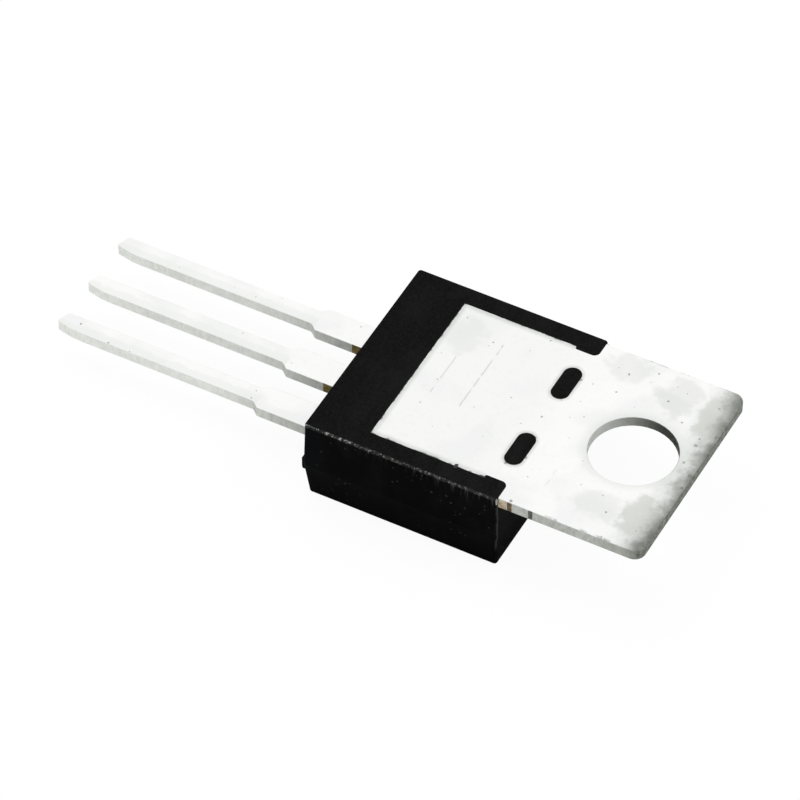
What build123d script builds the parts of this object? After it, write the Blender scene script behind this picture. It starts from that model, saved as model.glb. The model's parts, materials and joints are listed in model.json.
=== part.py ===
"""Triac in a flat three-lead package, with a thin bare mounting tab moulded into its back.

The part lies on its moulded front face.  +X runs from the lead tips to the end of the tab, +Z
points up out of the bare metal back, and Y = 0 is the centre line.  The origin is at the bottom
centre of the whole part.  All sizes are in millimetres.
"""
import os
from math import atan2, cos, pi, radians, sin, tan

from build123d import *

# ---------------------------------------------------------------- driving dimensions
# Moulded body.  Length and width are those of its back face.
package_thickness = 4.3
body_length = 8.9
body_width = 10.15
body_corner_radius = 0.14
front_edge_radius = 0.12
back_edge_radius = 0.05
# Mould draft: how far each wall leans between the parting line and the end of its half.
back_draft = 0.05
front_side_draft = 0.34
front_end_draft = 0.1

# Stamped sheet that the tab and all three leads are cut from.
sheet_thickness = 0.52

# Mounting tab.
tab_projection = 6.45
tab_side_inset = 0.14
tab_corner_radius = 0.5
tab_edge_roll = 0.1
mounting_hole_diameter = 3.78
mounting_hole_setback = 2.78
hole_edge_roll = 0.07

# Bare metal field in the back of the moulding, and the plastic frame round it.
rim_width = 0.9
lead_end_margin = 2.62
neck_depth = 0.16
neck_length = 1.04
neck_step_radius = 0.07
neck_corner_radius = 0.28

# Two slots through the tab that the plastic fills, to lock it to the sheet.
lock_slot_width = 0.81
lock_slot_length = 1.93
lock_slot_setback = 0.46
lock_slot_spacing = 4.18

# Leads.
lead_pitch = 2.54
lead_projection = 13.1
lead_setback = 2.36
lead_width = 0.83
lead_root_width = 1.36
lead_root_length = 3.43
shoulder_length = 0.3
shoulder_radius = 0.16
tip_bevel_length = 0.86
tip_bevel_depth = 0.19
tip_slant = 0.24
tip_blend_radius = 3.0
tip_nose_radius = 0.1
tip_heel_radius = 0.2
lead_edge_roll = 0.05

# The strip that carries the tab down to the centre lead, inside the moulding.
strip_width = 2.0
strip_run_out = 0.35
strip_foot_cover = 0.16
strip_angle = 60.0
strip_bend_radius = 0.25
coined_step = 0.24

# Bond pads of the two outer leads, inside the moulding.
paddle_length = 1.65
paddle_cover = 0.45
paddle_gap = 0.3
paddle_side_cover = 1.0
paddle_corner_radius = 0.2

# Chip and the solder under it.
die_size = 4.0
die_thickness = 0.25
die_setback = 0.62
solder_thickness = 0.06
solder_margin = 0.1

# Bond wires.
main_wire_diameter = 0.38
gate_wire_diameter = 0.2
wire_loop_clearance = 0.2
main_wire_spacing = 1.05
main_wire_setback = 1.33
main_wire_side_inset = 1.2
gate_wire_inset = 0.5
# Shares of a wire's diameter: its foot's length, how far the foot is pressed flat, its bends.
wire_foot_share = 2.2
wire_sink_share = 0.15
wire_bend_share = 1.5

# Resin left by the mould: the broken gate stub and a thread of flash beside the tab.
gate_stub_out = 0.22
gate_stub_width = 0.8
gate_stub_height = 0.6
gate_stub_rise = 0.15
gate_stub_side_cover = 0.12
gate_stub_chamfer = 0.07
flash_length = 0.4
flash_width = 0.1
flash_height = 0.3

# Two places nearer than this are the same one.
same_place = 1e-4

# ---------------------------------------------------------------- places that follow from them
overall_length = lead_projection + body_length + tab_projection
tip_x = -overall_length / 2
body_lead_x = tip_x + lead_projection
body_tab_x = body_lead_x + body_length
tab_end_x = body_tab_x + tab_projection

tab_front_z = package_thickness - sheet_thickness
lead_back_z = package_thickness - lead_setback
lead_front_z = lead_back_z - sheet_thickness
parting_z = lead_back_z

pad_lead_x = body_lead_x + lead_end_margin
pad_half = body_width / 2 - rim_width
neck_half = pad_half - neck_depth
neck_x = body_tab_x - neck_length
tab_half = body_width / 2 - tab_side_inset

solder_front_z = tab_front_z - solder_thickness
die_front_z = solder_front_z - die_thickness
die_centre_x = pad_lead_x + die_setback + die_size / 2

paddle_lead_x = body_lead_x + paddle_cover
paddle_inner_x = paddle_lead_x + paddle_length
paddle_near_y = strip_width / 2 + paddle_gap
paddle_far_y = body_width / 2 - paddle_side_cover
paddle_centre_y = (paddle_near_y + paddle_far_y) / 2

# Rounding a lead's nose takes its foremost point this far back from the sharp corner.
slant_angle = atan2(tip_slant, lead_width - tip_bevel_depth)
bevel_angle = atan2(tip_bevel_depth, tip_bevel_length)
nose_half_angle = (pi / 2 - slant_angle + bevel_angle) / 2
nose_direction = (pi / 2 - slant_angle - bevel_angle) / 2
nose_setback = tip_nose_radius * (cos(nose_direction) / sin(nose_half_angle) - 1)


def slab(x_low, x_high, y_low, y_high):
    """A rectangle in the XY plane between two X and two Y values."""
    middle = Pos((x_low + x_high) / 2, (y_low + y_high) / 2)
    return middle * Rectangle(x_high - x_low, y_high - y_low)


def block(x_low, x_high, y_low, y_high, z_low, z_high):
    """A box between two values on each axis."""
    return extrude(Pos(0, 0, z_low) * slab(x_low, x_high, y_low, y_high), z_high - z_low)


def corners_at(sketch, x, half_width):
    """The two corners of a plan that lie at x, one on each side of the centre line."""
    return [v for v in sketch.vertices()
            if abs(v.X - x) < same_place and abs(abs(v.Y) - half_width) < same_place]


def corner_near(sketch, point):
    """The corner of a flat outline that is closest to a point."""
    return min(sketch.vertices(), key=lambda v: abs(v.X - point[0]) + abs(v.Y - point[1]))


# ---------------------------------------------------------------- leads
def lead_plan(lead_y, inner_x):
    """A lead seen from above: wide root, shoulder, slim leg and a tip cropped at a slant."""
    shoulder_x = body_lead_x - lead_root_length
    root_end_x = shoulder_x + shoulder_length / 2
    leg_end_x = shoulder_x - shoulder_length / 2
    root_half = lead_root_width / 2
    leg_half = lead_width / 2
    nose_x = tip_x - nose_setback
    heel = (nose_x + tip_slant, leg_half)
    nose = (nose_x, tip_bevel_depth - leg_half)
    bevel_start = (nose_x + tip_bevel_length, -leg_half)
    outline = [
        (inner_x, root_half), (root_end_x, root_half), (leg_end_x, leg_half), heel, nose,
        bevel_start, (leg_end_x, -leg_half), (root_end_x, -root_half), (inner_x, -root_half),
    ]
    plan = make_face(Polyline(*outline, close=True))
    plan = fillet(corners_at(plan, root_end_x, root_half), shoulder_radius)
    plan = fillet(corners_at(plan, leg_end_x, leg_half), shoulder_radius)
    for corner, radius in ((bevel_start, tip_blend_radius), (nose, tip_nose_radius),
                           (heel, tip_heel_radius)):
        plan = fillet(corner_near(plan, corner), radius)
    return Pos(0, lead_y) * plan


def lead(lead_y, inner_x):
    """A lead at sheet thickness, its back edges rolled over a little by the punch."""
    solid = extrude(Pos(0, 0, lead_front_z) * lead_plan(lead_y, inner_x), sheet_thickness)
    return fillet(solid.edges().group_by(Axis.Z)[-1], lead_edge_roll)


def outer_lead(side):
    """Lead 1 (side -1) or lead 3 (side +1), with its bond pad inside the moulding."""
    near_y, far_y = sorted((side * paddle_near_y, side * paddle_far_y))
    paddle = slab(paddle_lead_x, paddle_inner_x, near_y, far_y)
    paddle = fillet(paddle.vertices(), paddle_corner_radius)
    paddle = extrude(Pos(0, 0, lead_front_z) * paddle, sheet_thickness)
    return lead(side * lead_pitch, paddle_lead_x + paddle_length / 2) + paddle


# ---------------------------------------------------------------- tab and centre lead
def tab_plan():
    """The tab seen from above, with its necks, mounting hole and lock slots."""
    plan = slab(pad_lead_x, neck_x, -pad_half, pad_half)
    plan += slab(neck_x, body_tab_x, -neck_half, neck_half)
    plan += slab(body_tab_x, tab_end_x, -tab_half, tab_half)
    plan = fillet(corners_at(plan, neck_x, pad_half), neck_step_radius)
    plan = fillet(corners_at(plan, neck_x, neck_half), neck_step_radius)
    plan = fillet(corners_at(plan, body_tab_x, neck_half), neck_corner_radius)
    plan = fillet(corners_at(plan, tab_end_x, tab_half), tab_corner_radius)
    plan -= Pos(tab_end_x - mounting_hole_setback, 0) * Circle(mounting_hole_diameter / 2)
    lock_slot = Rot(0, 0, 90) * SlotOverall(lock_slot_length, lock_slot_width)
    for side in (-1, 1):
        plan -= Pos(body_tab_x - lock_slot_setback, side * lock_slot_spacing / 2) * lock_slot
    return plan


def down_set_strip():
    """The strip between tab and centre lead: two bends seen from the side."""
    bend_x = pad_lead_x - strip_run_out
    foot_x = bend_x - lead_setback / tan(radians(strip_angle))
    outer_shift = sheet_thickness * tan(radians(strip_angle / 2))
    lead_join_x = body_lead_x + strip_foot_cover
    inner_bend = (bend_x, tab_front_z)
    outer_bend = (bend_x - outer_shift, package_thickness)
    outer_foot = (foot_x, lead_front_z)
    inner_foot = (foot_x - outer_shift, lead_back_z)
    outline = [
        (pad_lead_x + strip_run_out, tab_front_z), inner_bend, outer_foot,
        (lead_join_x, lead_front_z), (lead_join_x, lead_back_z), inner_foot,
        outer_bend, (pad_lead_x + strip_run_out, package_thickness),
    ]
    side_view = make_face(Polyline(*outline, close=True))
    for inside, outside in ((inner_bend, outer_bend), (inner_foot, outer_foot)):
        side_view = fillet(corner_near(side_view, inside), strip_bend_radius)
        side_view = fillet(corner_near(side_view, outside), strip_bend_radius + sheet_thickness)
    strip = extrude(Plane.XZ * side_view, strip_width / 2, both=True)
    # The back of the strip is coined down beside the tab, so that plastic covers it.
    step_low = package_thickness - coined_step
    strip -= block(tip_x, pad_lead_x, -strip_width, strip_width, step_low, 2 * package_thickness)
    return strip


def is_hole_rim(edge):
    """Whether an edge is a full circle round the mounting hole."""
    return (edge.geom_type == GeomType.CIRCLE
            and abs(edge.radius - mounting_hole_diameter / 2) < same_place)


def tab_and_centre_lead():
    """Lead 2, the strip and the mounting tab, stamped and formed as one piece."""
    tab = extrude(Pos(0, 0, tab_front_z) * tab_plan(), sheet_thickness)
    bare_edges = [e for e in tab.edges().group_by(Axis.Z)[-1]
                  if e.center().X > body_tab_x + neck_depth]
    tab = fillet([e for e in bare_edges if not is_hole_rim(e)], tab_edge_roll)
    rims = [e for e in tab.edges() if is_hole_rim(e)]
    tab = fillet(max(rims, key=lambda e: e.center().Z), hole_edge_roll)
    return tab + down_set_strip() + lead(0, body_lead_x + paddle_cover / 2)


# ---------------------------------------------------------------- chip, solder and bond wires
def chip():
    half = die_size / 2
    return block(die_centre_x - half, die_centre_x + half, -half, half, die_front_z, solder_front_z)


def chip_solder():
    half = die_size / 2 + solder_margin
    return block(die_centre_x - half, die_centre_x + half, -half, half,
                 solder_front_z, tab_front_z)


def bond_wire(diameter, die_x, die_y, pad_y):
    """A looped wire whose two flattened feet lie on the chip and on an outer lead's pad."""
    radius = diameter / 2
    sink = diameter * wire_sink_share
    foot = diameter * wire_foot_share
    die_z = die_front_z - radius + sink
    pad_z = lead_front_z - radius + sink
    loop_z = lead_front_z - diameter - wire_loop_clearance
    pad_x = paddle_inner_x - paddle_length / 2
    route = [
        (die_x + foot, die_y, die_z),
        (die_x, die_y, die_z),
        (paddle_inner_x + 2 * wire_loop_clearance, (die_y + pad_y) / 2, loop_z),
        (pad_x + foot / 2, pad_y, pad_z),
        (pad_x - foot / 2, pad_y, pad_z),
    ]
    path = FilletPolyline(*route, radius=diameter * wire_bend_share)
    end_plane = Plane(origin=path @ 0, x_dir=(0, 0, -1), z_dir=path % 0)
    wire = sweep(end_plane * Circle(radius), path=path)
    low_y, high_y = -body_width / 2, body_width / 2
    wire -= block(body_lead_x, body_tab_x, low_y, high_y, die_front_z, tab_front_z)
    wire -= block(body_lead_x, paddle_inner_x, low_y, high_y, lead_front_z, lead_back_z)
    return wire


# ---------------------------------------------------------------- moulded body
def body_level(z, side_inset, end_inset, tab_end_inset):
    """The moulding's outline at one height, drawn in from the size of its back face."""
    x_low = body_lead_x + end_inset
    x_high = body_tab_x - tab_end_inset
    outline = RectangleRounded(x_high - x_low, body_width - 2 * side_inset, body_corner_radius)
    return Pos((x_low + x_high) / 2, 0, z) * outline


def moulded_block():
    """The moulding before the metal is taken out of it: two drafted halves and its flash."""
    parting = body_level(parting_z, -back_draft, -back_draft, 0)
    front_inset = front_side_draft - back_draft
    front = body_level(0, front_inset, front_end_draft - back_draft, front_end_draft)
    back = body_level(package_thickness, 0, 0, 0)
    solid = loft([front, parting], ruled=True) + loft([parting, back], ruled=True)
    solid = fillet(solid.edges().group_by(Axis.Z)[0], front_edge_radius)
    solid = fillet(solid.edges().group_by(Axis.Z)[-1], back_edge_radius)

    stub_y = -body_width / 2 + gate_stub_side_cover
    stub_z = parting_z + gate_stub_rise
    stub = block(body_lead_x - gate_stub_out, body_lead_x + gate_stub_out,
                 stub_y, stub_y + gate_stub_width, stub_z - gate_stub_height, stub_z)
    stub = chamfer(stub.edges().group_by(Axis.X)[0], gate_stub_chamfer)

    flash_points = [
        (body_tab_x - flash_length, tab_half), (body_tab_x + flash_length, tab_half),
        (body_tab_x - flash_length, tab_half + flash_width),
    ]
    flash_z = package_thickness - tab_edge_roll
    flash = extrude(Pos(0, 0, flash_z - flash_height) * make_face(Polyline(*flash_points, close=True)),
                    flash_height)
    return solid + stub + flash


def main():
    spread = main_wire_spacing / 2
    die_lead_x = die_centre_x - die_size / 2
    main_wire_y = main_wire_side_inset - die_size / 2
    wires = {}
    for number, offset in ((1, -spread), (2, spread)):
        wires[f"mt1_wire_{number}"] = bond_wire(main_wire_diameter, die_lead_x + main_wire_setback,
                                                main_wire_y + offset, offset - paddle_centre_y)
    wires["gate_wire"] = bond_wire(gate_wire_diameter, die_lead_x + gate_wire_inset,
                                   die_size / 2 - gate_wire_inset, paddle_centre_y)

    pieces = {
        "tab_and_centre_lead": tab_and_centre_lead(),
        "mt1_lead": outer_lead(-1),
        "gate_lead": outer_lead(1),
        "die_attach_solder": chip_solder(),
        "triac_die": chip(),
        **wires,
    }
    body = moulded_block()
    for piece in pieces.values():
        body -= piece
    pieces["moulded_body"] = body

    os.makedirs("parts", exist_ok=True)
    for name, piece in pieces.items():
        piece.label = name
        export_step(piece, f"parts/{name}.step")
        print(name, len(piece.solids()), round(piece.volume, 4))


main()
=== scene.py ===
"""Looks of a triac: black moulded body, matt tinned leads and a thin bare mounting tab."""
import json
import math
import random
from functools import partial

import bmesh
import bpy
from mathutils import Matrix, Vector


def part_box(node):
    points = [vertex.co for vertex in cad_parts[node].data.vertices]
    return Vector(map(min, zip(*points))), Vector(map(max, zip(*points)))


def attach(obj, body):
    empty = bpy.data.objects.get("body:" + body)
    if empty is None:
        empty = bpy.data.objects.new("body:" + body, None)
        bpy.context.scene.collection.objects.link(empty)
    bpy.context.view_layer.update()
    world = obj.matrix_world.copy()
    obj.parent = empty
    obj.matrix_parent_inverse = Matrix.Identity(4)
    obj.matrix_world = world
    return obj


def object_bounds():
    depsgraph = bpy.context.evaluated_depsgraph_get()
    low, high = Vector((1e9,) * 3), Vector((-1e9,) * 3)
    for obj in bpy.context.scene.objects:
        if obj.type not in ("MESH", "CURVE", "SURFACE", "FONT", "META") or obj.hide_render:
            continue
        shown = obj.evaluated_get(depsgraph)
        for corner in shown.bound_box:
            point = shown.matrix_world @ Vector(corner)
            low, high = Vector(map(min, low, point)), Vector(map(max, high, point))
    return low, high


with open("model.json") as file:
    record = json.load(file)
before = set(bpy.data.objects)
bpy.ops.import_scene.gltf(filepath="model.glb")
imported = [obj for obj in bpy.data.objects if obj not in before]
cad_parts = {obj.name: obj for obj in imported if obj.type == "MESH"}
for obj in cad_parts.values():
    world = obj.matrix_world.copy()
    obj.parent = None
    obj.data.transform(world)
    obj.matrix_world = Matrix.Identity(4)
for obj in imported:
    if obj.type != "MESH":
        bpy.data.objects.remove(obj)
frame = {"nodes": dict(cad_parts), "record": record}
cad_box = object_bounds()

MM = 0.001

# ---------------------------------------------------------------- places, in millimetres
(body_low, body_high), (_, tab_high) = (
    [[v / MM for v in corner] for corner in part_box(name)]
    for name in ("moulded_body", "tab_and_centre_lead"))

GATE_STUB = 0.22                       # the gate stub stands this far out of the lead end
DRAFT = 0.05                           # lean of the back half of the moulding
FLASH = 0.4                            # thread of flash beside the tab
MARGIN = 2.62                          # plastic between the lead end and the metal field
RIM = 0.9                              # plastic beside the metal field
NECK = 1.04                            # length of the tab's neck inside the moulding
PITCH = 2.54                           # between lead centres
ROOT = 3.4                             # length of the wide root of a lead
HOLE_SETBACK = 2.78                    # hole centre to the tab's end
HOLE_RADIUS = 1.89
SLOT_SETBACK = 0.46                    # lock slots to the moulding's end at the tab
SLOT_SIDE = 2.09                       # lock slots to the centre line
SLOT_RADIUS = 0.405
SLOT_STRAIGHT = 0.56                   # half the straight length of a lock slot

LEAD_END = body_low[0] + GATE_STUB     # the moulding's end at the leads
BODY_END = body_high[0] - FLASH        # the moulding's end at the tab
TAB_END = tab_high[0]
HOLE_X = TAB_END - HOLE_SETBACK
BACK = tab_high[2]                     # height of the bare metal back
HALF_WIDTH = body_high[1] - DRAFT      # half the width of the moulding's back
TAB_HALF = tab_high[1]                 # half the width of the tab
FIELD_END = LEAD_END + MARGIN          # the bare metal field starts here
FIELD_HALF = HALF_WIDTH - RIM


# ---------------------------------------------------------------- nodes
def linear(hex_colour):
    """An sRGB hex colour as linear red, green, blue and alpha."""
    parts = [int(hex_colour[i:i + 2], 16) / 255 for i in (1, 3, 5)]
    return (*[p / 12.92 if p <= 0.04045 else ((p + 0.055) / 1.055) ** 2.4 for p in parts], 1.0)


def add(tree, kind, inputs=None, out=0, **settings):
    """Adds one node with its settings, sets or links each input, and gives back one output."""
    node = tree.nodes.new(kind)
    for name, value in settings.items():
        setattr(node, name, value)
    for name, value in (inputs or {}).items():
        if isinstance(value, bpy.types.NodeSocket):
            tree.links.new(value, node.inputs[name])
        else:
            node.inputs[name].default_value = value
    return node.outputs[out] if node.outputs else node


MATH = "ShaderNodeMath"
AXES = "ShaderNodeSeparateXYZ"
NOISE = "ShaderNodeTexNoise"
CELLS = "ShaderNodeTexVoronoi"
TURN = "ShaderNodeMapping"
BUMP = "ShaderNodeBump"
RANGE = "ShaderNodeMapRange"
MIX = "ShaderNodeMix"
SOFT = {"interpolation_type": "SMOOTHSTEP"}
PRODUCT = {"operation": "MULTIPLY"}
# The colour sockets of a Mix node, and how it is set to mix colours.
FACTOR, FIRST, SECOND = 0, 6, 7
COLOURS = {"out": 2, "data_type": "RGBA"}


def start_material(name, **sockets):
    """A material with set values on its shader, and a node adder and places in millimetres."""
    material = bpy.data.materials.new(name)
    material.use_nodes = True
    tree = material.node_tree
    shader = tree.nodes["Principled BSDF"]
    for socket, value in sockets.items():
        shader.inputs[socket.replace("_", " ")].default_value = value
    node = partial(add, tree)
    where = node("ShaderNodeTexCoord", out="Object")
    facing = where.node.outputs["Normal"]
    place = node("ShaderNodeVectorMath", {0: where, "Scale": 1 / MM}, operation="SCALE")
    return material, node, place, facing


def finish_material(material, **links):
    """Links worked-out values to the shader's sockets."""
    tree = material.node_tree
    for socket, value in links.items():
        tree.links.new(value, tree.nodes["Principled BSDF"].inputs[socket.replace("_", " ")])
    return material


# ---------------------------------------------------------------- tin plate
# Handling marks on the bare back: (x, lowest y, highest y, strength).
SCRATCHES = [(FIELD_END + 1.1, -1.0, 1.3, 0.3), (FIELD_END + 2.52, -1.2, 2.8, 0.38),
             (HOLE_X - 2.3, -3.6, -2.4, 0.15)]
# Cloudy stains on the tab: (x, y, half length, half width, strength).
STAINS = [(TAB_END - 1.05, -3.1, 0.8, 1.3, 0.62), (TAB_END - 2.6, -3.3, 1.3, 0.8, 0.2),
          (TAB_END - 0.8, 3.2, 0.6, 1.5, 0.6), (TAB_END - 2.4, 3.6, 1.0, 1.2, 0.3),
          (BODY_END + 1.4, 4.1, 1.1, 0.9, 0.22), (FIELD_END + 0.9, 2.6, 0.9, 1.2, 0.16)]


SCRATCH_HALF = 0.055                   # half the width of a scratch
SCRATCH_SWAY = 0.1                     # how far a scratch wanders from its line
SPECK_CELLS = 1.9                      # cells a millimetre that may hold a speck
WANDER = 0.2                           # how far specks are pulled out of round


def tin_plate():
    """Matt tin plate on stamped copper sheet.

    Near-white, with faint soft clouds and a few specks and scratches; dirt lies along the plastic.
    Sheared edges are grey and speckled, the end of the tab is tarnished olive grey with a ragged
    border, and brown copper shows where tie bars were cut off.
    """
    material, node, place, facing = start_material("matt_tin_plate_on_copper", Metallic=1.0)
    x, y, z = node(AXES, {0: place}).node.outputs
    facing_up = node(AXES, {0: facing}, out=2)
    level = node(MATH, {0: facing_up}, operation="ABSOLUTE")
    flat = node(RANGE, {"Value": level, "From Min": 0.35, "From Max": 0.8}, **SOFT)
    edge = node(MATH, {0: 1.0, 1: flat}, operation="SUBTRACT")
    side_y = node(MATH, {0: y}, operation="ABSOLUTE")

    fine = node(NOISE, {"Vector": place, "Scale": 4.5, "Detail": 5.0, "Roughness": 0.65})
    ragged = node(NOISE, {"Vector": place, "Scale": 1.6, "Detail": 5.0, "Roughness": 0.62})
    broad = node(NOISE, {"Vector": place, "Scale": 0.34, "Detail": 2.0, "Distortion": 0.4})

    # The plate's own tone: broad clouds a few millimetres wide under a very faint fine mottle.
    clouds = node(RANGE, {"Value": broad, "From Min": 0.42, "From Max": 0.6}, **SOFT)
    colour = node(MIX, {FACTOR: clouds, FIRST: linear("#fcfcfb"), SECOND: linear("#f5f6f5")},
                  **COLOURS)
    # The field is a shade greyer than the tab and the legs.
    greyer = node(RANGE, {"Value": x, "From Min": BODY_END + 1.0, "From Max": BODY_END - 1.5,
                          "To Max": 0.5}, **SOFT)
    past_legs = node(MATH, {0: x, 1: LEAD_END}, operation="GREATER_THAN")
    greyer = node(MATH, {0: greyer, 1: past_legs}, **PRODUCT)
    colour = node(MIX, {FACTOR: greyer, FIRST: colour, SECOND: linear("#f2f3f2")}, **COLOURS)
    mottle = node(RANGE, {"Value": fine, "From Min": 0.5, "From Max": 0.8, "To Max": 0.22}, **SOFT)
    colour = node(MIX, {FACTOR: mottle, FIRST: colour, SECOND: linear("#dfe3de")}, **COLOURS)

    # Each leg is a shade greyer along its -Y half, where the punch pressed it.
    across = node(MATH, {0: y, 1: PITCH / 2, 2: -PITCH / 2}, operation="WRAP")
    wander = node(MATH, {0: ragged, 1: 0.5, 2: across}, operation="MULTIPLY_ADD")
    band = node(RANGE, {"Value": wander, "From Min": 0.3, "From Max": 0.14}, **SOFT)
    on_leg = node(MATH, {0: x, 1: LEAD_END - ROOT}, operation="LESS_THAN")
    band = node(MATH, {0: band, 1: on_leg}, **PRODUCT)
    band = node(MATH, {0: band, 1: 0.55}, **PRODUCT)
    colour = node(MIX, {FACTOR: band, FIRST: colour, SECOND: linear("#eef0ed")}, **COLOURS)

    # Stains on the tab, with uneven borders.
    for stain_x, stain_y, half_length, half_width, strength in STAINS:
        spot = node(TURN, {"Vector": place, "Location": (stain_x, stain_y, BACK),
                           "Scale": (half_length, half_width, 1.0)}, vector_type="TEXTURE")
        reach = node("ShaderNodeVectorMath", {0: spot}, out=1, operation="LENGTH")
        reach = node(MATH, {0: ragged, 1: 1.6, 2: reach}, operation="MULTIPLY_ADD")
        stain = node(RANGE, {"Value": reach, "From Min": 1.9, "From Max": 1.45,
                             "To Max": strength}, **SOFT)
        colour = node(MIX, {FACTOR: stain, FIRST: colour, SECOND: linear("#c9cdc6")}, **COLOURS)

    # How far a place is inside the metal field, from the plastic round it.
    from_side = node(MATH, {0: FIELD_HALF, 1: side_y}, operation="SUBTRACT")
    from_start = node(MATH, {0: x, 1: FIELD_END}, operation="SUBTRACT")
    inside = node(MATH, {0: from_side, 1: from_start}, operation="MINIMUM")
    in_field = node(MATH, {0: x, 1: BODY_END - NECK}, operation="LESS_THAN")
    on_back = node(MATH, {0: z, 1: BACK - 0.2}, operation="GREATER_THAN")
    in_field = node(MATH, {0: in_field, 1: on_back}, **PRODUCT)
    # Distance from the plastic in the two lock slots.
    slot_x = node(MATH, {0: x, 1: BODY_END - SLOT_SETBACK}, operation="SUBTRACT")
    slot_y = node(MATH, {0: side_y, 1: SLOT_SIDE}, operation="SUBTRACT")
    slot_y = node(MATH, {0: slot_y}, operation="ABSOLUTE")
    slot_y = node(MATH, {0: slot_y, 1: SLOT_STRAIGHT}, operation="SUBTRACT")
    slot_y = node(MATH, {0: slot_y, 1: 0.0}, operation="MAXIMUM")
    slot_way = node("ShaderNodeCombineXYZ", {0: slot_x, 1: slot_y})
    slot_gap = node("ShaderNodeVectorMath", {0: slot_way}, out=1, operation="LENGTH")
    slot_gap = node(MATH, {0: slot_gap, 1: SLOT_RADIUS}, operation="SUBTRACT")

    # Dirt gathers in a thin uneven line along the plastic, and resin bleeds over it in places.
    fringe = node(RANGE, {"Value": inside, "From Min": 0.3, "From Max": 0.02}, **SOFT)
    fringe = node(MATH, {0: fringe, 1: in_field}, **PRODUCT)
    slot_fringe = node(RANGE, {"Value": slot_gap, "From Min": 0.2, "From Max": 0.0}, **SOFT)
    fringe = node(MATH, {0: fringe, 1: slot_fringe}, operation="MAXIMUM")
    fringe = node(MATH, {0: fringe, 1: ragged}, **PRODUCT)
    colour = node(MIX, {FACTOR: fringe, FIRST: colour, SECOND: linear("#bcc0ba")}, **COLOURS)
    bleed_width = node(MATH, {0: ragged, 1: -0.26, 2: 0.14}, operation="MULTIPLY_ADD")
    bleed = node(MATH, {0: inside, 1: bleed_width}, operation="ADD")
    bleed = node(RANGE, {"Value": bleed, "From Min": 0.04, "From Max": 0.0,
                         "To Max": 0.8}, **SOFT)
    bleed = node(MATH, {0: bleed, 1: in_field}, **PRODUCT)
    colour = node(MIX, {FACTOR: bleed, FIRST: colour, SECOND: linear("#3c3e3c")}, **COLOURS)

    # Grey halo where the hole was punched.
    hole_way = node(TURN, {"Vector": place, "Location": (-HOLE_X, 0.0, 0.0),
                           "Scale": (1.0, 1.0, 0.0)})
    from_hole = node("ShaderNodeVectorMath", {0: hole_way}, out=1, operation="LENGTH")
    halo = node(RANGE, {"Value": from_hole, "From Min": HOLE_RADIUS + 0.5,
                        "From Max": HOLE_RADIUS, "To Max": 0.25}, **SOFT)
    colour = node(MIX, {FACTOR: halo, FIRST: colour, SECOND: linear("#cfd2cd")}, **COLOURS)

    # Long scratches across the sheet, about 0.1 mm wide, broken up and slightly wavy.
    gaps = node(NOISE, {"Vector": place, "Scale": 2.4, "Detail": 2.0})
    gaps = node(RANGE, {"Value": gaps, "From Min": 0.38, "From Max": 0.52}, **SOFT)
    scored = None
    for line_x, low_y, high_y, strength in SCRATCHES:
        off = node(MATH, {0: x, 1: line_x - SCRATCH_SWAY / 2}, operation="SUBTRACT")
        off = node(MATH, {0: ragged, 1: -SCRATCH_SWAY, 2: off}, operation="MULTIPLY_ADD")
        off = node(MATH, {0: off}, operation="ABSOLUTE")
        line = node(RANGE, {"Value": off, "From Min": SCRATCH_HALF, "From Max": 0.0,
                            "To Max": strength}, **SOFT)
        along = node(MATH, {0: y, 1: (low_y + high_y) / 2, 2: (high_y - low_y) / 2},
                     operation="COMPARE")
        line = node(MATH, {0: line, 1: along}, **PRODUCT)
        scored = line if scored is None else node(MATH, {0: scored, 1: line}, operation="MAXIMUM")
    scored = node(MATH, {0: scored, 1: gaps}, **PRODUCT)
    scored = node(MATH, {0: scored, 1: flat}, **PRODUCT)
    colour = node(MIX, {FACTOR: scored, FIRST: colour, SECOND: linear("#8d918b")}, **COLOURS)

    # Specks and pits up to 0.2 mm wide, commoner beside plastic and near the end of the tab.
    jagged = node("ShaderNodeVectorMath", {0: fine.node.outputs["Color"], 1: (WANDER,) * 3,
                                           2: place}, operation="MULTIPLY_ADD")
    cells = node(CELLS, {"Vector": jagged, "Scale": SPECK_CELLS}, voronoi_dimensions="2D").node.outputs
    chance = node(AXES, {0: cells["Color"]})
    near_end = node(RANGE, {"Value": x, "From Min": TAB_END - 2.2, "From Max": TAB_END - 0.2,
                            "To Max": 0.14}, **SOFT)
    tab_rim = node(RANGE, {"Value": side_y, "From Min": TAB_HALF - 0.5, "From Max": TAB_HALF,
                           "To Max": 0.25}, **SOFT)
    crowded = node(MATH, {0: near_end, 1: tab_rim}, operation="MAXIMUM")
    crowded = node(MATH, {0: fringe, 1: crowded}, operation="MAXIMUM")
    chance = node(MATH, {0: chance, 1: crowded}, operation="ADD")
    reach = node(RANGE, {"Value": chance, "From Min": 0.8, "From Max": 1.1, "To Max": 0.17})
    speck = node(MATH, {0: reach, 1: cells["Distance"]}, operation="SUBTRACT")
    speck = node(RANGE, {"Value": speck, "From Min": 0.0, "From Max": 0.05}, **SOFT)
    speck = node(MATH, {0: speck, 1: flat}, **PRODUCT)
    speck_tone = node(MATH, {0: speck, 1: 0.6}, **PRODUCT)
    colour = node(MIX, {FACTOR: speck_tone, FIRST: colour, SECOND: linear("#666963")}, **COLOURS)

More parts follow.
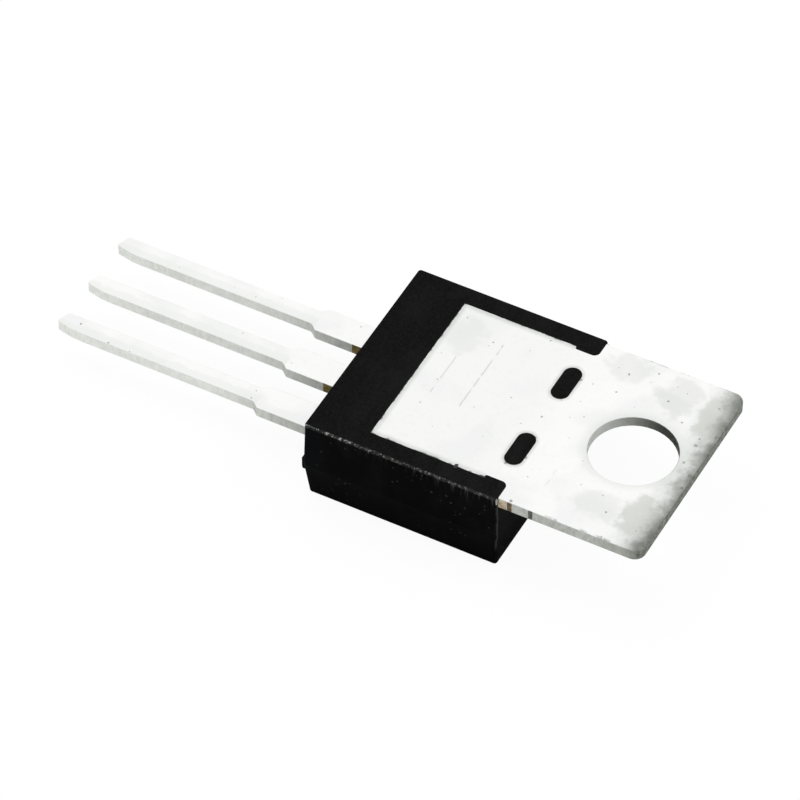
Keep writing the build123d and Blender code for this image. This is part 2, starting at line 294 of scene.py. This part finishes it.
    # Sheared edges: grey, speckled and streaked along the punch stroke; palest on the legs.
    stroke = node(TURN, {"Vector": place, "Scale": (5.5, 5.5, 3.0)})
    streaks = node(NOISE, {"Vector": stroke, "Scale": 1.0, "Detail": 5.0, "Roughness": 0.72})
    streaks = node(RANGE, {"Value": streaks, "From Min": 0.25, "From Max": 0.75})
    tab_shear = node(MIX, {FACTOR: streaks, FIRST: linear("#979a94"), SECOND: linear("#c4c7c1")},
                     **COLOURS)
    leg_shear = node(MIX, {FACTOR: streaks, FIRST: linear("#cdcfca"), SECOND: linear("#e8eae5")},
                     **COLOURS)
    on_leads = node(RANGE, {"Value": x, "From Min": LEAD_END, "From Max": LEAD_END - 6.0}, **SOFT)
    to_end = node(RANGE, {"Value": x, "From Min": TAB_END - 2.6, "From Max": TAB_END - 0.6,
                          "To Max": 0.6}, **SOFT)
    tab_shear = node(MIX, {FACTOR: to_end, FIRST: tab_shear, SECOND: linear("#767971")}, **COLOURS)
    sheared = node(MIX, {FACTOR: on_leads, FIRST: tab_shear, SECOND: leg_shear}, **COLOURS)
    colour = node(MIX, {FACTOR: edge, FIRST: colour, SECOND: sheared}, **COLOURS)

    # The hole's wall is painted light and shade: bright sheared metal on the side toward the moulding,
    # running to painted shade on the side far from it.
    in_hole = node(RANGE, {"Value": from_hole, "From Min": HOLE_RADIUS + 0.1,
                           "From Max": HOLE_RADIUS + 0.03}, **SOFT)
    in_hole = node(MATH, {0: in_hole, 1: edge}, **PRODUCT)
    round_hole = node(AXES, {0: hole_way}).node.outputs
    hole_wall_shading = node(MATH, {0: round_hole[0], 1: round_hole[1]}, operation="ADD")
    hole_wall_shading = node(MATH, {0: streaks, 1: 0.4, 2: hole_wall_shading}, operation="MULTIPLY_ADD")
    hole_wall_shading = node(RANGE, {"Value": hole_wall_shading, "From Min": -1.2, "From Max": 2.4})
    hole_wall_light_and_shade = node(MIX, {FACTOR: hole_wall_shading, FIRST: linear("#c4c7c2"), SECOND: linear("#565852")},
                     **COLOURS)
    colour = node(MIX, {FACTOR: in_hole, FIRST: colour, SECOND: hole_wall_light_and_shade}, **COLOURS)

    # Tarnish: a grey veil, then a dark ragged strip along the end, widest at the two corners.
    to_corner = node(RANGE, {"Value": side_y, "From Min": TAB_HALF - 1.6, "From Max": TAB_HALF,
                             "To Max": 0.3}, **SOFT)
    creep = node(MATH, {0: ragged, 1: 0.8, 2: x}, operation="MULTIPLY_ADD")
    creep = node(MATH, {0: creep, 1: to_corner}, operation="ADD")
    creep = node(MATH, {0: fine, 1: 0.6, 2: creep}, operation="MULTIPLY_ADD")
    creep = node(MATH, {0: creep, 1: TAB_END + 0.7}, operation="SUBTRACT")
    veil = node(RANGE, {"Value": creep, "From Min": -1.6, "From Max": -0.2, "To Max": 0.42}, **SOFT)
    strip = node(RANGE, {"Value": creep, "From Min": -0.75, "From Max": 0.15, "To Max": 0.85},
                 **SOFT)
    at_end = node(RANGE, {"Value": x, "From Min": TAB_END - 0.45, "From Max": TAB_END - 0.12,
                          "To Max": 0.95}, **SOFT)
    end_face = node(MATH, {0: at_end, 1: edge}, **PRODUCT)
    tarnish = node(MATH, {0: strip, 1: end_face}, operation="MAXIMUM")
    rim_dirt = node(RANGE, {"Value": side_y, "From Min": TAB_HALF - 0.14, "From Max": TAB_HALF},
                    **SOFT)
    patchy = node(RANGE, {"Value": ragged, "From Min": 0.45, "From Max": 0.62}, **SOFT)
    on_tab = node(RANGE, {"Value": x, "From Min": BODY_END + 1.6, "From Max": BODY_END + 2.6,
                          "To Max": 0.75})
    rim_dirt = node(MATH, {0: rim_dirt, 1: patchy}, **PRODUCT)
    rim_dirt = node(MATH, {0: rim_dirt, 1: on_tab}, **PRODUCT)
    rim_dirt = node(MATH, {0: rim_dirt, 1: flat}, **PRODUCT)
    tarnish = node(MATH, {0: tarnish, 1: rim_dirt}, operation="MAXIMUM")
    colour = node(MIX, {FACTOR: veil, FIRST: colour, SECOND: linear("#c2c6bf")}, **COLOURS)
    grit = node(RANGE, {"Value": fine, "From Min": 0.35, "From Max": 0.68})
    dark_metal = node(MIX, {FACTOR: grit, FIRST: linear("#4c4e47"), SECOND: linear("#8b8e85")},
                      **COLOURS)
    colour = node(MIX, {FACTOR: tarnish, FIRST: colour, SECOND: dark_metal}, **COLOURS)

    # Cut tie bars: olive brown on the lead roots, tan and brown with a grey bar on the tab's edge.
    near_side = node(MATH, {0: y, 1: -TAB_HALF + 0.15}, operation="LESS_THAN")
    between_leads = node(MATH, {0: side_y, 1: PITCH + 0.4}, operation="LESS_THAN")
    wavy_x = node(MATH, {0: fine, 1: 0.12, 2: x}, operation="MULTIPLY_ADD")
    for start, end, pale, dark, where in (
            (LEAD_END - 1.44, LEAD_END - 0.9, "#8c7a45", "#37311d", between_leads),
            (BODY_END + 0.02, BODY_END + 0.42, "#e0d8c8", "#a08c72", near_side),
            (BODY_END + 0.46, BODY_END + 0.68, "#806a52", "#3c3027", near_side),
            (BODY_END + 0.72, BODY_END + 1.4, "#bec0bb", "#a6a9a3", near_side),
            (BODY_END + 1.44, BODY_END + 1.62, "#62645f", "#454743", near_side)):
        cut = node(MATH, {0: wavy_x, 1: (start + end) / 2, 2: (end - start) / 2},
                   operation="COMPARE")
        cut = node(MATH, {0: cut, 1: edge}, **PRODUCT)
        cut = node(MATH, {0: cut, 1: where}, **PRODUCT)
        bare = node(MIX, {FACTOR: grit, FIRST: linear(dark), SECOND: linear(pale)}, **COLOURS)
        colour = node(MIX, {FACTOR: cut, FIRST: colour, SECOND: bare}, **COLOURS)

    # Matt plate, duller where it is cloudy and dullest where it is tarnished.
    dull = node(MATH, {0: clouds, 1: 0.06, 2: 0.42}, operation="MULTIPLY_ADD")
    dull = node(MATH, {0: tarnish, 1: 0.14, 2: dull}, operation="MULTIPLY_ADD")

    # Relief: orange peel of the plate, scored scratches, pits and torn sheared edges.
    relief = node(BUMP, {"Height": fine, "Distance": 0.006 * MM, "Strength": 0.45})
    dents = node(MATH, {0: scored, 1: speck}, operation="MAXIMUM")
    relief = node(BUMP, {"Height": dents, "Distance": 0.012 * MM, "Strength": 0.6,
                         "Normal": relief}, invert=True)
    torn = node(MATH, {0: streaks, 1: edge}, **PRODUCT)
    relief = node(BUMP, {"Height": torn, "Distance": 0.03 * MM, "Strength": 0.5,
                         "Normal": relief})
    return finish_material(material, Base_Color=colour, Roughness=dull, Normal=relief)


# ---------------------------------------------------------------- other finishes
GRAIN_CELLS = 4.5                      # cells a millimetre that may hold a filler grain
GRAIN_WANDER = 0.12                    # how far grains are pulled out of round
EPOXY_IOR = 1.55
EPOXY_GLOSS = 0.015                    # share of the usual surface reflection


def epoxy():
    """Black epoxy moulding compound from an eroded mould.

    Dead matt. The back is dusty charcoal with faint smears, painted lighter than the walls as if lit;
    the walls are painted almost black as shade, with pale grains of filler and drag marks below the
    back, a painted highlight beside the end wall's near corner and painted shade low down; the -Y back
    edge is worn pale in a broken line.
    """
    material, node, place, facing = start_material(
        "matt_black_epoxy_moulding", IOR=EPOXY_IOR, Specular_IOR_Level=EPOXY_GLOSS)
    x, y, z = node(AXES, {0: place}).node.outputs
    faces = node(AXES, {0: facing}).node.outputs
    upward = node(RANGE, {"Value": faces[2], "From Min": 0.3, "From Max": 0.8}, **SOFT)
    end_wall = node(RANGE, {"Value": faces[0], "From Min": 0.5, "From Max": 0.9}, **SOFT)
    near_wall = node(RANGE, {"Value": faces[1], "From Min": -0.5, "From Max": -0.9}, **SOFT)

    smear_way = node(TURN, {"Vector": place, "Rotation": (0.0, 0.0, 0.35), "Scale": (1.0, 0.5, 1.0)})
    smears = node(NOISE, {"Vector": smear_way, "Scale": 0.6, "Detail": 4.0, "Roughness": 0.6})
    smeared = node(RANGE, {"Value": smears, "From Min": 0.42, "From Max": 0.68}, **SOFT)
    grain = node(NOISE, {"Vector": place, "Scale": 11.0, "Detail": 3.0, "Roughness": 0.7})
    coarse = node(NOISE, {"Vector": place, "Scale": 3.4, "Detail": 5.0, "Roughness": 0.75})
    gritty = node(RANGE, {"Value": grain, "From Min": 0.35, "From Max": 0.7}, **SOFT)

    # Painted light and shade: the back is painted lighter than the walls, as if lit, and dust lightens
    # it further; the walls stay clean and are painted nearly black, as shade.
    lit_dusty_back = node(MIX, {FACTOR: gritty, FIRST: linear("#0c0c0c"), SECOND: linear("#171717")},
                     **COLOURS)
    dusty = node(MATH, {0: smeared, 1: 0.3}, **PRODUCT)
    lit_dusty_back = node(MIX, {FACTOR: dusty, FIRST: lit_dusty_back, SECOND: linear("#212121")}, **COLOURS)
    wall_light_and_shade = node(MIX, {FACTOR: smeared, FIRST: linear("#040404"), SECOND: linear("#0a0a0a")},
                     **COLOURS)
    lead_corner = node(RANGE, {"Value": x, "From Min": LEAD_END + 1.6, "From Max": LEAD_END,
                               "To Max": 0.7}, **SOFT)
    wall_light_and_shade = node(MIX, {FACTOR: lead_corner, FIRST: wall_light_and_shade, SECOND: linear("#07090b")},
                     **COLOURS)
    # Painted light: the end wall, which faces the right-hand lamp, is painted a little lighter.
    wall_light_and_shade = node(MIX, {FACTOR: end_wall, FIRST: wall_light_and_shade, SECOND: linear("#0f0f0f")},
                     **COLOURS)
    colour = node(MIX, {FACTOR: upward, FIRST: wall_light_and_shade, SECOND: lit_dusty_back}, **COLOURS)

    # Pale grains of filler, up to 0.1 mm across, in loose clusters on the walls.
    jagged = node("ShaderNodeVectorMath", {0: coarse.node.outputs["Color"], 1: (GRAIN_WANDER,) * 3,
                                           2: place}, operation="MULTIPLY_ADD")
    cells = node(CELLS, {"Vector": jagged, "Scale": GRAIN_CELLS}).node.outputs
    chance = node(AXES, {0: cells["Color"]})
    cluster = node(NOISE, {"Vector": place, "Scale": 0.7, "Detail": 1.0})
    clustered = node(MATH, {0: cluster, 1: 2.4, 2: chance}, operation="MULTIPLY_ADD")
    reach = node(RANGE, {"Value": clustered, "From Min": 1.72, "From Max": 2.4, "To Max": 0.24})
    grains = node(MATH, {0: cells["Distance"], 1: reach}, operation="LESS_THAN")
    on_walls = node(MATH, {0: 1.0, 1: upward}, operation="SUBTRACT")
    grains = node(MATH, {0: grains, 1: on_walls}, **PRODUCT)
    grain_tone = node(MATH, {0: grains, 1: coarse}, **PRODUCT)
    colour = node(MIX, {FACTOR: grain_tone, FIRST: colour, SECOND: linear("#3f413f")}, **COLOURS)

    # Painted shade: the front half of the walls, which turns under, is painted blacker than the back
    # half.
    lower_wall_shade = node(RANGE, {"Value": z, "From Min": 2.2, "From Max": 0.9, "To Max": 0.6}, **SOFT)
    lower_wall_shade = node(MATH, {0: lower_wall_shade, 1: on_walls}, **PRODUCT)
    colour = node(MIX, {FACTOR: lower_wall_shade, FIRST: colour, SECOND: linear("#010101")}, **COLOURS)

    # Drag marks run down the near wall from its back edge.
    drag_way = node(TURN, {"Vector": place, "Location": (2.0, 0.0, 0.0),
                           "Scale": (4.2, 4.2, 0.45)})
    drag = node(NOISE, {"Vector": drag_way, "Scale": 1.0, "Detail": 3.0, "Roughness": 0.6})
    fall = node(MATH, {0: drag, 1: 1.6, 2: z}, operation="MULTIPLY_ADD")
    fall = node(RANGE, {"Value": fall, "From Min": BACK + 0.25, "From Max": BACK + 0.9}, **SOFT)
    marks = node(RANGE, {"Value": drag, "From Min": 0.5, "From Max": 0.66}, **SOFT)
    marks = node(MATH, {0: marks, 1: fall}, **PRODUCT)
    marks = node(MATH, {0: marks, 1: near_wall}, **PRODUCT)
    tab_half_way = node(RANGE, {"Value": x, "From Min": LEAD_END + 3.6, "From Max": LEAD_END + 5.6,
                                "To Min": 0.06, "To Max": 0.6}, **SOFT)
    marks = node(MATH, {0: marks, 1: tab_half_way}, **PRODUCT)
    colour = node(MIX, {FACTOR: marks, FIRST: colour, SECOND: linear("#424342")}, **COLOURS)

    # A painted highlight down the end wall beside its near corner, where the rounded corner catches
    # the light.
    corner_highlight = node(MATH, {0: coarse, 1: 0.3, 2: y}, operation="MULTIPLY_ADD")
    corner_highlight = node(MATH, {0: corner_highlight, 1: 0.26 - HALF_WIDTH, 2: 0.06}, operation="COMPARE")
    corner_highlight_height = node(RANGE, {"Value": z, "From Min": 0.3, "From Max": 1.6, "To Max": 0.4}, **SOFT)
    corner_highlight = node(MATH, {0: corner_highlight, 1: corner_highlight_height}, **PRODUCT)
    corner_highlight = node(MATH, {0: corner_highlight, 1: end_wall}, **PRODUCT)
    colour = node(MIX, {FACTOR: corner_highlight, FIRST: colour, SECOND: linear("#484a48")}, **COLOURS)

    # The -Y back edge is worn: pale specks in a broken line, brightest toward the leads. The +Y
    # edge is only touched.
    out_y = node(RANGE, {"Value": y, "From Min": -HALF_WIDTH + 0.1, "From Max": -HALF_WIDTH + 0.02},
                 **SOFT)
    far_y = node(RANGE, {"Value": y, "From Min": HALF_WIDTH - 0.08, "From Max": HALF_WIDTH,
                         "To Max": 0.3}, **SOFT)
    out_y = node(MATH, {0: out_y, 1: far_y}, operation="MAXIMUM")
    top_z = node(RANGE, {"Value": z, "From Min": BACK - 0.16, "From Max": BACK - 0.03}, **SOFT)
    worn = node(MATH, {0: out_y, 1: top_z}, **PRODUCT)
    chips = node(NOISE, {"Vector": place, "Scale": 6.5, "Detail": 4.0, "Roughness": 0.8})
    chipped = node(RANGE, {"Value": chips, "From Min": 0.5, "From Max": 0.62}, **SOFT)
    fading = node(RANGE, {"Value": x, "From Min": LEAD_END + 1.5, "From Max": LEAD_END + 5.5,
                          "To Min": 0.75, "To Max": 0.35}, **SOFT)
    scuff = node(MATH, {0: worn, 1: chipped}, **PRODUCT)
    scuff = node(MATH, {0: scuff, 1: fading}, **PRODUCT)
    rubbed = node(MATH, {0: worn, 1: 0.22}, **PRODUCT)
    colour = node(MIX, {FACTOR: rubbed, FIRST: colour, SECOND: linear("#4b4d4b")}, **COLOURS)
    colour = node(MIX, {FACTOR: scuff, FIRST: colour, SECOND: linear("#b4b6b1")}, **COLOURS)

    dull = node(MATH, {0: grain, 1: 0.16, 2: 0.62}, operation="MULTIPLY_ADD")
    relief = node(BUMP, {"Height": grain, "Distance": 0.012 * MM, "Strength": 0.6})
    relief = node(BUMP, {"Height": smears, "Distance": 0.02 * MM, "Strength": 0.4,
                         "Normal": relief})
    relief = node(BUMP, {"Height": scuff, "Distance": 0.04 * MM, "Strength": 0.7,
                         "Normal": relief})
    return finish_material(material, Base_Color=colour, Roughness=dull, Normal=relief)


def solder():
    """Dull lead-tin solder: mid grey with the soft grain of slowly cooled metal."""
    material, node, place, _ = start_material("dull_lead_tin_solder", Metallic=1.0, Roughness=0.45)
    grain = node(NOISE, {"Vector": place, "Scale": 4.0, "Detail": 4.0})
    tone = node(MIX, {FACTOR: grain, FIRST: linear("#80817f"), SECOND: linear("#a9aaa8")}, **COLOURS)
    relief = node(BUMP, {"Height": grain, "Distance": 0.004 * MM, "Strength": 0.5})
    return finish_material(material, Base_Color=tone, Normal=relief)


def aluminium_wire():
    """Drawn aluminium wire: bright, with fine lines along the draw."""
    material, node, place, _ = start_material("drawn_aluminium_wire", Metallic=1.0, Roughness=0.25)
    draw = node(TURN, {"Vector": place, "Scale": (0.2, 1.0, 1.0)})
    lines = node(NOISE, {"Vector": draw, "Scale": 20.0, "Detail": 4.0})
    tone = node(MIX, {FACTOR: lines, FIRST: linear("#c2c3c5"), SECOND: linear("#e2e3e4")}, **COLOURS)
    relief = node(BUMP, {"Height": lines, "Distance": 0.004 * MM, "Strength": 0.5})
    return finish_material(material, Base_Color=tone, Normal=relief)


def silicon():
    """Polished silicon: smooth dark blue-grey with a faint sawn grain."""
    material, node, place, _ = start_material("polished_silicon", Metallic=0.3, Roughness=0.15)
    saw = node(TURN, {"Vector": place, "Scale": (1.0, 0.1, 1.0)})
    lines = node(NOISE, {"Vector": saw, "Scale": 6.0, "Detail": 2.0})
    tone = node(MIX, {FACTOR: lines, FIRST: linear("#3d424c"), SECOND: linear("#565c68")}, **COLOURS)
    return finish_material(material, Base_Color=tone)


def broken_resin(name, dark, pale):
    """Broken epoxy: grainy and dry, because the filler shows where the skin has gone."""
    material, node, place, _ = start_material(name, IOR=EPOXY_IOR, Roughness=0.75)
    grain = node(NOISE, {"Vector": place, "Scale": 14.0, "Detail": 3.0})
    speckle = node(RANGE, {"Value": grain, "From Min": 0.3, "From Max": 0.7}, **SOFT)
    tone = node(MIX, {FACTOR: speckle, FIRST: linear(dark), SECOND: linear(pale)}, **COLOURS)
    relief = node(BUMP, {"Height": grain, "Distance": 0.02 * MM, "Strength": 0.6})
    return finish_material(material, Base_Color=tone, Normal=relief)


finishes = {"epoxy_moulding": epoxy(), "tinned_copper": tin_plate(), "solder": solder(),
            "silicon": silicon(), "aluminium_wire": aluminium_wire()}
for entry in frame["record"]["subparts"]:
    surface = frame["nodes"][entry["node"]].data
    surface.materials.clear()
    surface.materials.append(finishes[entry["material_slot"]])

pale_filler = broken_resin("broken_epoxy_filler", "#5a5c59", "#b9bbb6")
black_flash = broken_resin("torn_epoxy_flash", "#0a0a0a", "#262726")


# ---------------------------------------------------------------- resin crumbs on the worn edge
def crumbs_along_edge():
    """Crumbs of broken resin scattered along the moulding's worn back edge."""
    tree = bpy.data.node_groups.new("crumbs_on_edge", "GeometryNodeTree")
    sockets = tree.interface
    sockets.new_socket("Geometry", in_out="INPUT", socket_type="NodeSocketGeometry")
    for name, value in (("Spacing", 0.085 * MM), ("Smallest", 0.008 * MM),
                        ("Largest", 0.028 * MM), ("Scatter", 0.045 * MM)):
        socket = sockets.new_socket(name, in_out="INPUT", socket_type="NodeSocketFloat")
        socket.default_value = value
    seed = sockets.new_socket("Seed", in_out="INPUT", socket_type="NodeSocketInt")
    seed.default_value = 7
    sockets.new_socket("Geometry", in_out="OUTPUT", socket_type="NodeSocketGeometry")

    node = partial(add, tree)
    given = node("NodeGroupInput").node.outputs
    path = node("GeometryNodeMeshToCurve", {"Mesh": given["Geometry"]})
    spots = node("GeometryNodeCurveToPoints", {"Curve": path, "Length": given["Spacing"]},
                 mode="LENGTH")
    # Crumbs lie out on the wall and along the edge, and hardly stand above the back.
    low = node("ShaderNodeVectorMath", {0: (-1.0, -0.35, -1.6), "Scale": given["Scatter"]},
               operation="SCALE")
    high = node("ShaderNodeVectorMath", {0: (1.0, 1.0, 0.1), "Scale": given["Scatter"]},
                operation="SCALE")
    shift = node("FunctionNodeRandomValue", {0: low, 1: high, "Seed": given["Seed"]},
                 data_type="FLOAT_VECTOR")
    moved = node("GeometryNodeSetPosition", {"Geometry": spots, "Offset": shift})
    turn = node("FunctionNodeRandomValue", {1: (math.tau, math.tau, math.tau),
                                            "Seed": given["Seed"]}, data_type="FLOAT_VECTOR")
    size = node("FunctionNodeRandomValue", {2: given["Smallest"], 3: given["Largest"],
                                            "Seed": given["Seed"]}, out=1, data_type="FLOAT")
    lump = node("GeometryNodeMeshIcoSphere", {"Radius": 1.0, "Subdivisions": 1})
    crumb = node("GeometryNodeTransform", {"Geometry": lump, "Scale": (1.0, 0.7, 0.5)})
    placed = node("GeometryNodeInstanceOnPoints",
                  {"Points": moved, "Instance": crumb, "Rotation": turn, "Scale": size})
    real = node("GeometryNodeRealizeInstances", {"Geometry": placed})
    coated = node("GeometryNodeSetMaterial", {"Geometry": real, "Material": pale_filler})
    node("NodeGroupOutput", {0: coated})
    return tree


def line_of_edges(points):
    """An open chain of mesh edges through points given in millimetres."""
    mesh = bpy.data.meshes.new("path")
    mesh.from_pydata([[v * MM for v in p] for p in points],
                     [(i, i + 1) for i in range(len(points) - 1)], [])
    return bpy.data.objects.new("path", mesh)


def keep_piece(name, mesh):
    """Makes a finished mesh into a piece of the moulding."""
    mesh.name = name
    piece = bpy.data.objects.new(name, mesh)
    bpy.context.collection.objects.link(piece)
    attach(piece, "root")


def bake(source, tree):
    """Runs a node tree on an object and gives back the result as a plain mesh."""
    bpy.context.collection.objects.link(source)
    source.modifiers.new("nodes", "NODES").node_group = tree
    graph = bpy.context.evaluated_depsgraph_get()
    mesh = bpy.data.meshes.new_from_object(source.evaluated_get(graph))
    bpy.data.objects.remove(source)
    return mesh


EDGE_INSET = 0.02                      # the worn edge runs this far inside the sharp corner
worn_edge = line_of_edges([(LEAD_END + 0.15, -HALF_WIDTH + EDGE_INSET, BACK - EDGE_INSET),
                           (BODY_END - 0.1, -HALF_WIDTH + EDGE_INSET, BACK - EDGE_INSET)])
keep_piece("worn_edge_crumbs", bake(worn_edge, crumbs_along_edge()))


UNEVEN = 0.22                          # how far a splinter's corners stray from an even lump


def splinter(name, place, half_sizes, seed, material):
    """A small uneven closed lump of resin round a place given in millimetres."""
    draw = random.Random(seed)
    work = bmesh.new()
    bmesh.ops.create_icosphere(work, subdivisions=2, radius=1.0)
    for vertex in work.verts:
        vertex.co *= 1 + draw.uniform(-UNEVEN, UNEVEN)
        vertex.co = Vector([c * s for c, s in zip(vertex.co, half_sizes)])
        vertex.co = (vertex.co + Vector(place)) * MM
    mesh = bpy.data.meshes.new(name)
    work.to_mesh(mesh)
    work.free()
    mesh.materials.append(material)
    keep_piece(name, mesh)


splinter("corner_flake", (BODY_END - 0.02, -HALF_WIDTH + 0.05, BACK - 0.16), (0.05, 0.05, 0.17), 3,
         pale_filler)
# Torn flash that stands a hair above the metal at the edge of the field.
splinter("flash_tooth", (FIELD_END + 3.95, -FIELD_HALF, BACK), (0.09, 0.12, 0.02), 5, black_flash)
splinter("flash_bead", (FIELD_END + 5.15, -FIELD_HALF, BACK), (0.16, 0.05, 0.02), 9, black_flash)


# ---------------------------------------------------------------- stage, light and camera
FLOOR_DROP = 0.02 * MM
FLOOR_SIZE = 4.0                       # metres
FLOOR_GLOW = 0.94                      # share of plain white in what the camera sees of the floor
bpy.ops.mesh.primitive_plane_add(size=FLOOR_SIZE, location=(0, 0, -FLOOR_DROP))
floor = bpy.context.object
floor.name = "pale_floor"


def white_floor():
    """White table top. Seen directly it is nearly white, and it still takes a soft shadow."""
    material = bpy.data.materials.new("white_table")
    material.use_nodes = True
    tree = material.node_tree
    shader = tree.nodes["Principled BSDF"]
    shader.inputs["Base Color"].default_value = linear("#f2f2f2")
    shader.inputs["Roughness"].default_value = 0.9
    node = partial(add, tree)
    glow = node("ShaderNodeEmission", {"Color": (1, 1, 1, 1), "Strength": 1.0})
    rays = node("ShaderNodeLightPath").node.outputs
    seen = node(MATH, {0: rays["Is Camera Ray"], 1: rays["Is Transmission Ray"]},
                operation="MAXIMUM")
    share = node(MATH, {0: seen, 1: FLOOR_GLOW}, **PRODUCT)
    mixed = node("ShaderNodeMixShader", {0: share, 1: shader.outputs[0], 2: glow})
    tree.links.new(mixed, tree.nodes["Material Output"].inputs["Surface"])
    return material


floor.data.materials.append(white_floor())

# The world lights the object at AMBIENT, and is plain white to the camera and in reflections.
AMBIENT = 0.62
world = bpy.data.worlds.new("studio")
bpy.context.scene.world = world
world.use_nodes = True
background = world.node_tree.nodes["Background"]
background.inputs["Color"].default_value = (1, 1, 1, 1)
sky = partial(add, world.node_tree)
rays = sky("ShaderNodeLightPath").node.outputs
seen = sky(MATH, {0: rays["Is Camera Ray"], 1: rays["Is Glossy Ray"]}, operation="MAXIMUM")
seen = sky(MATH, {0: seen, 1: rays["Is Transmission Ray"]}, operation="MAXIMUM")
strength = sky(MATH, {0: seen, 1: 1 - AMBIENT, 2: AMBIENT}, operation="MULTIPLY_ADD")
world.node_tree.links.new(strength, background.inputs["Strength"])


def softbox(name, place, aim, size, power):
    """A square lamp that points from one place to another, both in metres."""
    lamp = bpy.data.lights.new(name, "AREA")
    lamp.size = size
    lamp.energy = power
    holder = bpy.data.objects.new(name, lamp)
    bpy.context.collection.objects.link(holder)
    holder.location = place
    holder.rotation_euler = (Vector(aim) - Vector(place)).to_track_quat("-Z", "Y").to_euler()
    holder.visible_glossy = False


CENTRE = Vector([(a + b) / 2 for a, b in zip(*cad_box)])
# Lamps: name, place from the centre and size in metres, and power in watts.
for lamp_name, offset, lamp_size, watts in (
        ("right_softbox", (0.30, 0.05, 0.22), 0.25, 0.55),
        ("overhead_softbox", (-0.12, 0.05, 0.36), 0.30, 0.75)):
    softbox(lamp_name, CENTRE + Vector(offset), CENTRE, lamp_size, watts)

# Camera: azimuth, elevation and roll in degrees, distance and aim from the moulding's centre.
AZIMUTH, ELEVATION, ROLL = (math.radians(a) for a in (27.777, 46.818, 0.285))
DISTANCE = 261.1
AIM_RIGHT, AIM_UP = -2.353, 2.222
FOCAL_WIDTHS = 7.811                   # focal length in picture widths
SENSOR = 36.0

back = Vector((math.sin(AZIMUTH) * math.cos(ELEVATION), -math.cos(AZIMUTH) * math.cos(ELEVATION),
               math.sin(ELEVATION)))
level = Vector((math.cos(AZIMUTH), math.sin(AZIMUTH), 0.0))
upright = back.cross(level)
right = math.cos(ROLL) * level + math.sin(ROLL) * upright
up = -math.sin(ROLL) * level + math.cos(ROLL) * upright
body_centre = Vector(((LEAD_END + BODY_END) / 2, 0.0, 0.0))
eye = body_centre + back * DISTANCE + right * AIM_RIGHT + up * AIM_UP

lens = bpy.data.cameras.new("camera")
lens.sensor_width = SENSOR
lens.lens = FOCAL_WIDTHS * SENSOR
lens.clip_start = 0.01
camera = bpy.data.objects.new("camera", lens)
bpy.context.collection.objects.link(camera)
camera.matrix_world = Matrix.Translation(eye * MM) @ Matrix((right, up, back)).transposed().to_4x4()
bpy.context.scene.camera = camera

bpy.context.scene.view_settings.view_transform = "Standard"
